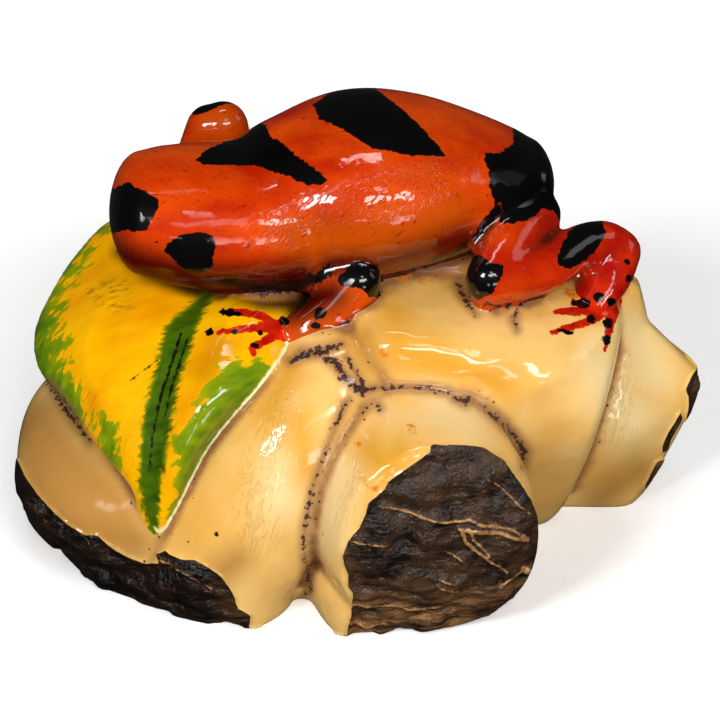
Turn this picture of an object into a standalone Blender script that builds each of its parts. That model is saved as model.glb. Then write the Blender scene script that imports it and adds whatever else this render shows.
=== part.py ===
"""A tree frog on a leaf, carved from one tagua nut, lacquered and resting on its flat sanded underside.

The carving is one solid. Its stubs radiate from the nut's heart, and their ends keep the nut's own skin,
so they all stop at the nut's outside. The leaf drapes over the left shoulder, and the frog lies on top.

Metres, +Z up. +X runs along the nut, from the frog's snout to its rump, and -Y is the front.
"""

import math

import bmesh
import bpy
from mathutils import Matrix, Vector

MM = 0.001

# The nut before carving. Its forms are laid out in steps along, across and up, 1 mm each at this size.
NUT_LENGTH = 60 * MM
NUT_DEPTH = 41 * MM
NUT_HEIGHT = 26 * MM
NUT_STEPS = (60, 41, 26)
NUT_STEP = NUT_HEIGHT / NUT_STEPS[2]

# The frog, laid out in steps of its own from its seat on the nut, also 1 mm each at this size.
FROG_LENGTH = 38 * MM
FROG_STEP = FROG_LENGTH / 38
FROG_SEAT = (2, 8, 25)

LEAF_THICKNESS = 2.6 * MM
# How far each half of the blade swells, as a share of the blade's width there.
LEAF_SWELL = 0.035

# The finest detail that the solid keeps, how often its edges are rubbed, and its number of triangles.
CARVING_GRAIN = 0.5 * MM
RUBBINGS = 3
SOLID_TRIANGLES = 8800


def on_nut(x, y, z):
    """The place on the nut that is x steps along, y across and z up, in metres."""
    sizes = (NUT_LENGTH, NUT_DEPTH, NUT_HEIGHT)
    return Vector([place * size / steps for place, size, steps in zip((x, y, z), sizes, NUT_STEPS)])


def on_frog(x, y, z):
    """The same place in the frog's own steps, which are sized with the frog."""
    seat = Vector(FROG_SEAT)
    return on_nut(*seat) + (Vector((x, y, z)) - seat) * FROG_STEP


# The nut's outside, an egg that is widest a third of the way up.
NUT_CENTRE = (-0.4, 1, 10)
NUT_RADII = (31.5, 19.9, 23)


def keep_inside_nut(point):
    """Brings a point that stands out of the nut back to its skin."""
    centre = on_nut(*NUT_CENTRE)
    radii = on_nut(*NUT_RADII)
    offset = point - centre
    reach = math.sqrt(sum((offset[i] / radii[i]) ** 2 for i in range(3)))
    return centre + offset / reach if reach > 1 else point


def cut_to_nut(form):
    """The form with all that stands out of the nut brought back to the nut's skin."""
    for vert in form.verts:
        vert.co = keep_inside_nut(vert.co)
    return form


def between(before, start, end, after, t):
    """A number on the smooth curve from start to end, at a share t of the way."""
    slope = end - before
    bend = 2 * before - 5 * start + 4 * end - after
    turn = 3 * start - before - 3 * end + after
    return start + 0.5 * (slope * t + bend * t**2 + turn * t**3)


def smooth_stations(stations, steps):
    """Stations read from a smooth curve through the given ones. Each is a tuple of numbers."""
    ends = [stations[0], *stations, stations[-1]]
    read = []
    for i in range(len(stations) - 1):
        for step in range(steps):
            read.append(tuple(between(*numbers, step / steps) for numbers in zip(*ends[i : i + 4])))
    return [*read, tuple(stations[-1])]


def loft(stations, place, unit, corner=2.0, steps=5, sides=28, dome_reach=1.0):
    """A closed body through oval rings. A station is x, y, z, half width and half height.

    The ends are domed. A corner of 2 gives an ellipse, and more gives a squarer ring. A dome reach
    under 1 gives blunter ends.
    """
    path = smooth_stations(stations, steps)
    centres = [place(*station[:3]) for station in path]
    widths = [station[3] * unit for station in path]
    heights = [station[4] * unit for station in path]
    mesh = bmesh.new()
    rings = []

    def ring(centre, along, width, height):
        side = along.cross(Vector((0, 0, 1))).normalized()
        up = side.cross(along).normalized()
        points = []
        for i in range(sides):
            angle = 2 * math.pi * i / sides
            across = math.copysign(abs(math.cos(angle)) ** (2 / corner), math.cos(angle))
            above = math.copysign(abs(math.sin(angle)) ** (2 / corner), math.sin(angle))
            points.append(mesh.verts.new(centre + side * across * width + up * above * height))
        rings.append(points)

    def dome(i, outward, degrees):
        for angle in (math.radians(d) for d in degrees):
            reach = min(widths[i], heights[i]) * math.sin(angle) * dome_reach
            share = math.cos(angle)
            ring(centres[i] + outward * reach, along_at(i), widths[i] * share, heights[i] * share)

    def along_at(i):
        return (centres[min(i + 1, len(path) - 1)] - centres[max(i - 1, 0)]).normalized()

    last = len(path) - 1
    degrees = (84, 75, 65, 50, 35, 20, 10)
    dome(0, -along_at(0), degrees)
    for i in range(len(path)):
        ring(centres[i], along_at(i), widths[i], heights[i])
    dome(last, along_at(last), degrees[::-1])
    for first, second in zip(rings, rings[1:]):
        for i in range(sides):
            j = (i + 1) % sides
            mesh.faces.new((first[i], first[j], second[j], second[i]))
    mesh.faces.new(rings[0][::-1])
    mesh.faces.new(rings[-1])
    bmesh.ops.recalc_face_normals(mesh, faces=mesh.faces)
    return mesh


def pebble(centre, radii, lean=(0, 0, 0), corner=2.2):
    """A rounded boulder on the nut, leaned by degrees about X, Y and Z, and cut back to the nut's skin."""
    mesh = bmesh.new()
    bmesh.ops.create_icosphere(mesh, subdivisions=5, radius=1)
    turn = Matrix.Identity(3)
    for axis, degrees in zip("XYZ", lean):
        turn = Matrix.Rotation(math.radians(degrees), 3, axis) @ turn
    for vert in mesh.verts:
        swell = sum(abs(c) ** corner for c in vert.co) ** (-1 / corner)
        offset = turn @ Vector([vert.co[i] * swell * radii[i] for i in range(3)])
        vert.co = on_nut(*(Vector(centre) + offset))
    return cut_to_nut(mesh)


def block(corners, rounding):
    """A faceted block through its corners on the nut, with its edges rounded off."""
    mesh = bmesh.new()
    for corner in corners:
        mesh.verts.new(on_nut(*corner))
    bmesh.ops.convex_hull(mesh, input=mesh.verts)
    bmesh.ops.delete(mesh, geom=[v for v in mesh.verts if not v.link_faces], context="VERTS")
    bmesh.ops.subdivide_edges(mesh, edges=mesh.edges, cuts=7, use_grid_fill=True)
    bmesh.ops.triangulate(mesh, faces=mesh.faces)
    every_way = {"use_axis_x": True, "use_axis_y": True, "use_axis_z": True}
    for _ in range(rounding):
        bmesh.ops.smooth_vert(mesh, verts=mesh.verts, factor=0.5, **every_way)
    bmesh.ops.recalc_face_normals(mesh, faces=mesh.faces)
    return cut_to_nut(mesh)


def heart():
    """The nut's flesh in the middle, which every crease ends in."""
    return [pebble((-3, 3, 9), (18, 13, 14))]


def left_stub():
    """The low boulder under the leaf, on the left, and its foot, which is set back under it."""
    foot = pebble((-15.7, 0.9, 3), (12.1, 14.2, 9), corner=2.1)
    return [pebble((-16.4, 0.4, 6.6), (13.9, 14, 7), corner=2.4), foot]


def front_stub():
    """The leaning stub to the right of the leaf's tip, and the floor of the crease beside it."""
    path = [
        (-2, -5.5, 18, 5.6, 5.6),
        (-5, -7.8, 14.5, 6.8, 6.8),
        (-9.1, -9.5, 9, 7, 7),
        (-12.1, -9.6, 3, 7.15, 7.15),
        (-13.3, -9.6, -3, 7.3, 7.3),
    ]
    floor = [(-3, -5, 17, 5, 5), (-4.4, -6.6, 8, 5, 5), (-5, -7, -3, 5, 5)]
    stub = loft(path, on_nut, NUT_STEP, corner=2.2, steps=8)
    return [cut_to_nut(stub), loft(floor, on_nut, NUT_STEP, steps=8)]


def drum_stub():
    """The round stub at the front, whose end keeps the nut's skin, and its heel."""
    path = [
        (-1.4, 4, 9.8, 9.4, 10.2),
        (2.9, -6, 9.8, 9.3, 10.3),
        (5.2, -12, 9.8, 9.3, 10.3),
        (6.5, -15.5, 9.8, 8.9, 9.9),
        (7.3, -17.5, 9.8, 8.3, 9.3),
        (7.8, -18.8, 9.8, 7.5, 8.5),
    ]
    heel = pebble((1, -11.5, 1.5), (5.2, 6.6, 4.8), lean=(0, 0, 22), corner=2.8)
    return [cut_to_nut(loft(path, on_nut, NUT_STEP, corner=2.2, steps=8, sides=48)), heel]


def shoulder_stub():
    """The big faceted stub that the frog's near side lies on, and the rise under its belly."""
    corners = [
        (-3, 8, 25.2), (-0.7, -4.2, 24.6), (-0.8, -7.6, 22.4), (5, -8.6, 24.8), (11, -9, 23.2),
        (16.8, -8.9, 21.1), (20.6, -8.4, 16.8), (22.9, 2.5, 22.3), (22.9, 0, 19.6), (21.2, -3.8, 15.6),
        (20.2, -5.6, 11.6), (18.2, -3.8, 5), (17.3, -0.6, -1.5), (22, 9, 20.5), (-1, -8.4, 12), (0, -4, -2),
        (-4, 8, -2), (19, 8, -2), (19.5, 8, 12),
    ]
    return [block(corners, rounding=9), pebble((6, 9, 21.5), (11, 7.5, 5.2))]


def end_stub():
    """The narrow stub at the right, set back from the shoulder, with a small step at its root."""
    corners = [
        (12, 3, 20), (24, 4.2, 20), (30.7, 4.5, 12.3), (29.7, 3.2, 9.6), (24, 12, 14.6), (29.2, 11.5, 8.4),
        (12, 12, 18), (12, 0, 10), (23, -0.9, 9), (27, 2.3, 6.2), (23.8, 1.2, -1), (25.6, 4, -1),
        (12, 2, -2), (12, 14, -2), (25, 11, -2),
    ]
    root = [
        (17, 3, 20.5), (22.4, 2.6, 21.2), (24.3, 4.6, 22), (24.3, 7, 21.6), (25.4, 5, 17.8), (25, 8.5, 17.5),
        (23.5, 11, 17.5), (17, 10, 19), (17, 2, 12), (25, 2.5, 12), (25, 10, 10), (17, 11, 10),
    ]
    return [block(corners, rounding=3), block(root, rounding=3)]


def back_stubs():
    """The two plain boulders behind, which the photographed side hides."""
    right = pebble((8, 11, 9), (11, 9, 12.5), lean=(8, 0, -12), corner=2.5)
    left = pebble((-10, 10.5, 8.5), (10.5, 9.5, 12.5), lean=(8, 0, 14), corner=2.4)
    return [right, left]


def base():
    """Every form that the nut's flesh is cut into, under the leaf and the frog."""
    return [*heart(), *left_stub(), *front_stub(), *drum_stub(), *shoulder_stub(), *end_stub(), *back_stubs()]


def leaf():
    """The leaf: a thick curved blade from under the frog's chin to its tip low at the front."""
    # Each row crosses the leaf: its left edge, its midrib and its right edge.
    rows = [
        ((-18, 17.5, 19), (-12, 15.5, 23), (-5, 13, 24)),
        ((-22.5, 14, 22.8), (-12.5, 9, 25), (-3.5, 7, 24.5)),
        ((-26, 11, 21.1), (-12.5, 2, 24), (-4.5, 2, 24)),
        ((-28.5, 7, 18.5), (-14.5, -2.3, 23.2), (-5, -2.5, 22.5)),
        ((-29.3, 4, 17.3), (-16, -5.4, 21.8), (-6, -6, 21.5)),
        ((-28.9, 1, 15.9), (-16.6, -8, 20.4), (-8.5, -9, 20.9)),
        ((-26.8, -2.6, 15.2), (-16.9, -10, 18.8), (-11.3, -11.3, 19.4)),
        ((-23.4, -8, 14.2), (-17.3, -12.3, 15.4), (-14, -12.9, 16.2)),
        ((-19.9, -11.5, 12), (-17.5, -13.3, 11.6), (-15.8, -13.7, 11.5)),
        ((-18.1, -13, 8.4), (-17.7, -13.5, 8.3), (-17.2, -13.6, 8.4)),
    ]
    columns = [smooth_stations([row[i] for row in rows], 6) for i in range(3)]
    inward = on_nut(-8, 4, 4)
    across = (0, 0.02, 0.05, 0.12, 0.22, 0.32, 0.42, 0.5, 0.58, 0.68, 0.78, 0.88, 0.95, 0.98, 1)
    mesh = bmesh.new()
    grid = []
    for left, middle, right in zip(*columns):
        # The control point between the edges pulls the curve's middle onto the midrib.
        pulled = [2 * m - (a + b) / 2 for a, m, b in zip(left, middle, right)]
        swell = (on_nut(*left) - on_nut(*right)).length * LEAF_SWELL
        line = []
        for t in across:
            shares = ((1 - t) ** 2, 2 * t * (1 - t), t**2)
            point = on_nut(*(sum(s * c for s, c in zip(shares, ends)) for ends in zip(left, pulled, right)))
            line.append(point - (inward - point).normalized() * swell * math.sin(2 * math.pi * t) ** 2)
        grid.append(line)

    def sunk(i, j, depth):
        """A point of the blade, sunk into the nut. The rim's edges are taken off."""
        from_rim = min(j, len(across) - 1 - j, 2)
        bevel = (0.3, 0.1, 0)[from_rim]
        share = bevel + (1 - 2 * bevel) * depth
        return grid[i][j] + (inward - grid[i][j]).normalized() * LEAF_THICKNESS * share

    top = [[mesh.verts.new(sunk(i, j, 0)) for j in range(len(across))] for i in range(len(grid))]
    under = [[mesh.verts.new(sunk(i, j, 1)) for j in range(len(across))] for i in range(len(grid))]
    length, width = len(grid), len(grid[0])
    for i in range(length - 1):
        for j in range(width - 1):
            mesh.faces.new((top[i][j], top[i + 1][j], top[i + 1][j + 1], top[i][j + 1]))
            mesh.faces.new((under[i][j], under[i][j + 1], under[i + 1][j + 1], under[i + 1][j]))
    rim = [(i, 0) for i in range(length)] + [(length - 1, j) for j in range(1, width)]
    rim += [(i, width - 1) for i in range(length - 2, -1, -1)] + [(0, j) for j in range(width - 2, 0, -1)]
    for (i, j), (k, m) in zip(rim, rim[1:] + rim[:1]):
        mesh.faces.new((top[i][j], under[i][j], under[k][m], top[k][m]))
    bmesh.ops.recalc_face_normals(mesh, faces=mesh.faces)
    return mesh


def frog_body():
    """The frog's head and trunk: a blunt snout, a slight neck and a full belly that tapers to the rump."""
    path = [
        (-18.7, 3.2, 30.2, 6.2, 4.65),
        (-17, 3.4, 30.0, 6.8, 5.05),
        (-14, 4, 29.4, 7.4, 5.5),
        (-9, 5.5, 28.6, 7.9, 5.8),
        (-5, 6.9, 29.0, 8.8, 6.7),
        (0, 8, 30.2, 10, 6.8),
        (5, 9, 30.1, 9.5, 6.1),
        (10, 10, 29.4, 7.6, 4.9),
        (13.2, 10.8, 28.7, 5.9, 4.0),
        (14.8, 11.1, 28.4, 4.6, 3.3),
    ]
    return [loft(path, on_frog, FROG_STEP, corner=2.3, steps=6, sides=40, dome_reach=0.6)]


def near_foreleg():
    """The near foreleg: back from the shoulder to the elbow, and forward again to the wrist on the leaf."""
    upper = [(-6.5, 3, 25.6, 2, 2), (-2.8, -0.4, 25.9, 1.9, 1.9), (0, -1.7, 26.3, 1.85, 1.85)]
    forearm = [(-2.2, -2.6, 24, 1.95, 1.95), (-4.7, -3.4, 22.6, 1.75, 1.7), (-6.3, -3.4, 22.1, 1.3, 1.1)]
    return [upper, [upper[-1], *forearm]]


def near_hind_leg():
    """The near hind leg, folded in a Z: hip to knee, knee to ankle, and a flat foot that turns forward."""
    thigh = [(15.2, 6.8, 27.6, 2.3, 2.4), (13, 2.7, 27.5, 2.4, 2.5), (11, -1.6, 26.4, 2.1, 2.3)]
    shin = [
        thigh[-1],
        (13.8, -0.2, 25.9, 2.1, 2.1),
        (16.5, 1.7, 25.7, 2.0, 2.0),
        (18.8, 4.4, 25.7, 1.95, 2.0),
        (21.1, 6.4, 24.9, 2.05, 2.05),
        (22.5, 6.2, 24.2, 2.05, 2.05),
    ]
    foot = [shin[-1], (21.8, 4.6, 23.4, 2.2, 1.8), (20.9, 3, 22.6, 2.2, 1.4), (20, 1.6, 22.1, 1.7, 0.9)]
    return [thigh, shin, foot]


def far_legs():
    """The far foreleg, whose elbow stands up behind the head, and the far hind leg down the back."""
    upper = [(-5, 12, 26, 2.2, 2.2), (-10.4, 15, 24, 2.3, 2.3), (-12.1, 17, 30.4, 2.25, 2.25)]
    lower = [(-13.3, 17, 30.2, 2.15, 2.15), (-14.3, 16.6, 26.5, 2.3, 2.3), (-15.8, 15.5, 22, 1.7, 1.7)]
    thigh = [(13, 12, 27.4, 2.2, 2.2), (9, 17, 26.6, 2.5, 2.6), (4, 19, 24.8, 1.9, 2.0)]
    shin = [thigh[-1], (8.5, 19.3, 22.8, 2.0, 2.0), (12.6, 17.6, 21.4, 1.7, 1.7)]
    foot = [shin[-1], (14, 18.2, 19.5, 1.6, 1.4), (15, 18.3, 17, 1.0, 0.8)]
    return [upper, lower, thigh, shin, foot]


def frog():
    """The frog's body and its four bent legs."""
    legs = [*near_foreleg(), *near_hind_leg(), *far_legs()]
    return [*frog_body(), *(loft(leg, on_frog, FROG_STEP, sides=16) for leg in legs)]


def joined(name, forms):
    """One object that holds every form, as closed shells that still cross each other."""
    whole = bmesh.new()
    for form in forms:
        shell = bpy.data.meshes.new("shell")
        form.to_mesh(shell)
        form.free()
        whole.from_mesh(shell)
        bpy.data.meshes.remove(shell)
    mesh = bpy.data.meshes.new(name)
    whole.to_mesh(mesh)
    whole.free()
    obj = bpy.data.objects.new(name, mesh)
    bpy.context.scene.collection.objects.link(obj)
    return obj


def apply_modifiers(obj):
    """Makes the object's modified shape its own mesh."""
    graph = bpy.context.evaluated_depsgraph_get()
    shaped = bpy.data.meshes.new_from_object(obj.evaluated_get(graph))
    obj.modifiers.clear()
    obj.data = shaped


def fuse(obj, grain, rubbings):
    """Makes one skin of crossing shells, and rubs its creases and edges as the carver's file does."""
    remesh = obj.modifiers.new("fuse", "REMESH")
    remesh.mode = "VOXEL"
    remesh.voxel_size = grain
    rub = obj.modifiers.new("rub", "SMOOTH")
    rub.factor = 0.5
    rub.iterations = rubbings


def thin_out(obj, triangles):
    """Leaves the given number of triangles, most of them where the form turns."""
    apply_modifiers(obj)
    obj.data.calc_loop_triangles()
    thin = obj.modifiers.new("thin", "DECIMATE")
    thin.ratio = triangles / len(obj.data.loop_triangles)
    apply_modifiers(obj)


def saw_flat(obj):
    """Saws the underside flat at Z = 0 and closes the cut."""
    mesh = bmesh.new()
    mesh.from_mesh(obj.data)
    whole = [*mesh.verts, *mesh.edges, *mesh.faces]
    cut = bmesh.ops.bisect_plane(mesh, geom=whole, plane_no=(0, 0, -1), clear_outer=True)
    rim = [part for part in cut["geom_cut"] if isinstance(part, bmesh.types.BMEdge)]
    bmesh.ops.triangle_fill(mesh, use_beauty=True, edges=rim, normal=(0, 0, -1))
    bmesh.ops.triangulate(mesh, faces=mesh.faces)
    bmesh.ops.recalc_face_normals(mesh, faces=mesh.faces)
    mesh.to_mesh(obj.data)
    mesh.free()


def stand_on_origin(obj):
    """Moves the mesh so that its box stands centred on the origin."""
    xs, ys = ([vert.co[i] for vert in obj.data.vertices] for i in range(2))
    obj.data.transform(Matrix.Translation((-(min(xs) + max(xs)) / 2, -(min(ys) + max(ys)) / 2, 0)))


def tagua():
    """The nut's flesh under lacquer, which most of the carving shows."""
    material = bpy.data.materials.new("lacquered_tagua")
    material.use_nodes = True
    shader = material.node_tree.nodes["Principled BSDF"]
    shader.inputs["Base Color"].default_value = (0.72, 0.46, 0.17, 1)
    shader.inputs["Roughness"].default_value = 0.25
    shader.inputs["Metallic"].default_value = 0
    return material


def main():
    for obj in list(bpy.data.objects):
        bpy.data.objects.remove(obj)
    carving = joined("frog_carving", [*base(), leaf(), *frog()])
    fuse(carving, CARVING_GRAIN, RUBBINGS)
    thin_out(carving, SOLID_TRIANGLES)
    saw_flat(carving)
    stand_on_origin(carving)
    carving.data.materials.clear()
    carving.data.materials.append(tagua())
    carving.data.shade_smooth()


main()
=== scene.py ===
"""The looks of a frog on a leaf, carved from one tagua nut, painted, and dipped in clear lacquer.

Millimetres in the layout of the carving, turned to metres where a mesh is made. +X runs from the frog's snout
to its rump, -Y is the front and +Z is up.
"""

import math

import bmesh
import bpy
import numpy as np
from mathutils import Matrix, Vector, noise
from mathutils.bvhtree import BVHTree
from mathutils.kdtree import KDTree


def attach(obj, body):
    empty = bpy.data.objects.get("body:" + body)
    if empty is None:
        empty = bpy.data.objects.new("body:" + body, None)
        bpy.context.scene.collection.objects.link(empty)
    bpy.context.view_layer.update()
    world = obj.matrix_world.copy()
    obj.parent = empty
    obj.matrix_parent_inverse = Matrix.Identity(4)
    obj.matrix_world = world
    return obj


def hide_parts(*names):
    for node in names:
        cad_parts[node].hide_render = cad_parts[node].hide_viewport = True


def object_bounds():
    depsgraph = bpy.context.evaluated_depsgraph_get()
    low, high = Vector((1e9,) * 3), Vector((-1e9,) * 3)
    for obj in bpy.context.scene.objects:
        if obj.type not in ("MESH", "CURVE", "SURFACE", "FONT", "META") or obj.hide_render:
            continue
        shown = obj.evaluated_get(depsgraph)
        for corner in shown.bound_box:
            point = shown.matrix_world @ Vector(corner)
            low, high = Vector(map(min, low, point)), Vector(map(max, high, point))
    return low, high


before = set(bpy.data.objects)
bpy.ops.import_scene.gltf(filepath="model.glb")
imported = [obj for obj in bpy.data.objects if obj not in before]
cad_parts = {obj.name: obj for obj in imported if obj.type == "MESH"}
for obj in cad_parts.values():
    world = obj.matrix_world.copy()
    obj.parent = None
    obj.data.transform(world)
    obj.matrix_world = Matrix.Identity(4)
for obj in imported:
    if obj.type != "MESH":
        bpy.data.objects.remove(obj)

cad_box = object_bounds()


# Camera
#
# A long lens in front of the carving, looking down at it as the photograph does. What is painted is placed
# by its pixels in the picture, so the camera's sizes come first.

MM = 0.001
PICTURE = 720
PIXELS_PER_MM = 11.5
AIM = np.array((0, 0, 17.0))
DISTANCE = 340
ELEVATION = math.radians(35)
BACK = np.array((0, -math.cos(ELEVATION), math.sin(ELEVATION)))
UP = np.array((0, math.sin(ELEVATION), math.cos(ELEVATION)))
EYE = AIM + BACK * DISTANCE


def in_picture(points):
    """The pixels at which points in millimetres show."""
    offset = np.asarray(points, float) - AIM
    scale = PIXELS_PER_MM * DISTANCE / (DISTANCE - offset @ BACK)
    return np.stack([PICTURE / 2 + offset[..., 0] * scale, PICTURE / 2 - offset @ UP * scale], -1)


def sight(x, y):
    """The direction in which the camera sees a pixel."""
    right = (x - PICTURE / 2) / PIXELS_PER_MM
    rise = (PICTURE / 2 - y) / PIXELS_PER_MM
    way = AIM + np.array((right, 0, 0)) + UP * rise - EYE
    return way / np.linalg.norm(way)


# Carved nut
#
# One tagua nut, the hard white seed of a palm, cut with a knife and files into seven stubs that spread from
# its heart. It is hard as bone and takes a polish. Its shapes are made as in the solid, with a finer grain.

# The nut before carving. Its forms are laid out in steps along, across and up, 1 mm each at this size.
NUT_LENGTH = 60 * MM
NUT_DEPTH = 41 * MM
NUT_HEIGHT = 26 * MM
NUT_STEPS = (60, 41, 26)
NUT_STEP = NUT_HEIGHT / NUT_STEPS[2]
# The nut's outside, an egg that is widest a third of the way up.
NUT_CENTRE = (-0.4, 1, 10)
NUT_RADII = (31.5, 19.9, 23)
# How often the long edges of a faceted stub are halved before they are rounded.
FACET_CUTS = 7


def on_nut(x, y, z):
    """The place on the nut that is x steps along, y across and z up, in metres."""
    sizes = (NUT_LENGTH, NUT_DEPTH, NUT_HEIGHT)
    return Vector([place * size / steps for place, size, steps in zip((x, y, z), sizes, NUT_STEPS)])


def keep_inside_nut(point):
    """Brings a point that stands out of the nut back to its skin."""
    centre = on_nut(*NUT_CENTRE)
    radii = on_nut(*NUT_RADII)
    offset = point - centre
    reach = math.sqrt(sum((offset[i] / radii[i]) ** 2 for i in range(3)))
    return centre + offset / reach if reach > 1 else point


def cut_to_nut(form):
    """The form with all that stands out of the nut brought back to the nut's skin."""
    for vert in form.verts:
        vert.co = keep_inside_nut(vert.co)
    return form


def between(before, start, end, after, t):
    """A number on the smooth curve from start to end, at a share t of the way."""
    slope = end - before
    bend = 2 * before - 5 * start + 4 * end - after
    turn = 3 * start - before - 3 * end + after
    return start + 0.5 * (slope * t + bend * t**2 + turn * t**3)


def smooth_stations(stations, steps):
    """Stations read from a smooth curve through the given ones. Each is a tuple of numbers."""
    ends = [stations[0], *stations, stations[-1]]
    read = []
    for i in range(len(stations) - 1):
        for step in range(steps):
            read.append(tuple(between(*numbers, step / steps) for numbers in zip(*ends[i : i + 4])))
    return [*read, tuple(stations[-1])]


def loft(stations, place, unit, corner=2.0, steps=5, sides=28, dome_reach=1.0):
    """A closed body through oval rings. A station is x, y, z, half width and half height.

    The ends are domed. A corner of 2 gives an ellipse, and more gives a squarer ring. A dome reach
    under 1 gives blunter ends.
    """
    path = smooth_stations(stations, steps)
    centres = [place(*station[:3]) for station in path]
    widths = [station[3] * unit for station in path]
    heights = [station[4] * unit for station in path]
    mesh = bmesh.new()
    rings = []

    def ring(centre, along, width, height):
        side = along.cross(Vector((0, 0, 1))).normalized()
        up = side.cross(along).normalized()
        points = []
        for i in range(sides):
            angle = 2 * math.pi * i / sides
            across = math.copysign(abs(math.cos(angle)) ** (2 / corner), math.cos(angle))
            above = math.copysign(abs(math.sin(angle)) ** (2 / corner), math.sin(angle))
            points.append(mesh.verts.new(centre + side * across * width + up * above * height))
        rings.append(points)

    def dome(i, outward, degrees):
        for angle in (math.radians(d) for d in degrees):
            reach = min(widths[i], heights[i]) * math.sin(angle) * dome_reach
            share = math.cos(angle)
            ring(centres[i] + outward * reach, along_at(i), widths[i] * share, heights[i] * share)

    def along_at(i):
        return (centres[min(i + 1, len(path) - 1)] - centres[max(i - 1, 0)]).normalized()

    last = len(path) - 1
    degrees = (84, 75, 65, 50, 35, 20, 10)
    dome(0, -along_at(0), degrees)
    for i in range(len(path)):
        ring(centres[i], along_at(i), widths[i], heights[i])
    dome(last, along_at(last), degrees[::-1])
    for first, second in zip(rings, rings[1:]):
        for i in range(sides):
            j = (i + 1) % sides
            mesh.faces.new((first[i], first[j], second[j], second[i]))
    mesh.faces.new(rings[0][::-1])
    mesh.faces.new(rings[-1])
    bmesh.ops.recalc_face_normals(mesh, faces=mesh.faces)
    return mesh


def pebble(centre, radii, lean=(0, 0, 0), corner=2.2):
    """A rounded boulder on the nut, leaned by degrees about X, Y and Z, and cut back to the nut's skin."""
    mesh = bmesh.new()
    bmesh.ops.create_icosphere(mesh, subdivisions=5, radius=1)
    turn = Matrix.Identity(3)
    for axis, degrees in zip("XYZ", lean):
        turn = Matrix.Rotation(math.radians(degrees), 3, axis) @ turn
    for vert in mesh.verts:
        swell = sum(abs(c) ** corner for c in vert.co) ** (-1 / corner)
        offset = turn @ Vector([vert.co[i] * swell * radii[i] for i in range(3)])
        vert.co = on_nut(*(Vector(centre) + offset))
    return cut_to_nut(mesh)


def block(corners, rounding):
    """A faceted block through its corners on the nut, with its edges rounded off."""
    mesh = bmesh.new()
    for corner in corners:
        mesh.verts.new(on_nut(*corner))
    bmesh.ops.convex_hull(mesh, input=mesh.verts)
    bmesh.ops.delete(mesh, geom=[v for v in mesh.verts if not v.link_faces], context="VERTS")
    bmesh.ops.subdivide_edges(mesh, edges=mesh.edges, cuts=FACET_CUTS, use_grid_fill=True)
    bmesh.ops.triangulate(mesh, faces=mesh.faces)
    every_way = {"use_axis_x": True, "use_axis_y": True, "use_axis_z": True}
    for _ in range(rounding):
        bmesh.ops.smooth_vert(mesh, verts=mesh.verts, factor=0.5, **every_way)
    bmesh.ops.recalc_face_normals(mesh, faces=mesh.faces)
    return cut_to_nut(mesh)


def heart():
    """The nut's flesh in the middle, which every crease ends in."""
    return [pebble((-3, 3, 9), (18, 13, 14))]


def left_stub():
    """The low boulder under the leaf, on the left, and its foot, which is set back under it."""
    foot = pebble((-15.7, 0.9, 3), (12.1, 14.2, 9), corner=2.1)
    return [pebble((-16.4, 0.4, 6.6), (13.9, 14, 7), corner=2.4), foot]


def front_stub():
    """The leaning stub to the right of the leaf's tip, and the floor of the crease beside it."""
    path = [
        (-2, -5.5, 18, 5.6, 5.6),
        (-5, -7.8, 14.5, 6.8, 6.8),
        (-9.1, -9.5, 9, 7, 7),
        (-12.1, -9.6, 3, 7.15, 7.15),
        (-13.3, -9.6, -3, 7.3, 7.3),
    ]
    floor = [(-3, -5, 17, 5, 5), (-4.4, -6.6, 8, 5, 5), (-5, -7, -3, 5, 5)]
    stub = loft(path, on_nut, NUT_STEP, corner=2.2, steps=8)
    return [cut_to_nut(stub), loft(floor, on_nut, NUT_STEP, steps=8)]


def drum_stub():
    """The round stub at the front, whose end keeps the nut's skin, and its heel."""
    path = [
        (-1.4, 4, 9.8, 9.4, 10.2),
        (2.9, -6, 9.8, 9.3, 10.3),
        (5.2, -12, 9.8, 9.3, 10.3),
        (6.5, -15.5, 9.8, 8.9, 9.9),
        (7.3, -17.5, 9.8, 8.3, 9.3),
        (7.8, -18.8, 9.8, 7.5, 8.5),
    ]
    heel = pebble((1, -11.5, 1.5), (5.2, 6.6, 4.8), lean=(0, 0, 22), corner=2.8)
    return [cut_to_nut(loft(path, on_nut, NUT_STEP, corner=2.2, steps=8, sides=48)), heel]


def shoulder_stub():
    """The big faceted stub that the frog's near side lies on, and the rise under its belly."""
    corners = [
        (-3, 8, 25.2), (-0.7, -4.2, 24.6), (-0.8, -7.6, 22.4), (5, -8.6, 24.8), (11, -9, 23.2),
        (16.8, -8.9, 21.1), (20.6, -8.4, 16.8), (22.9, 2.5, 22.3), (22.9, 0, 19.6), (21.2, -3.8, 15.6),
        (20.2, -5.6, 11.6), (18.2, -3.8, 5), (17.3, -0.6, -1.5), (22, 9, 20.5), (-1, -8.4, 12), (0, -4, -2),
        (-4, 8, -2), (19, 8, -2), (19.5, 8, 12),
    ]
    return [block(corners, rounding=9), pebble((6, 9, 21.5), (11, 7.5, 5.2))]


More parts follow.
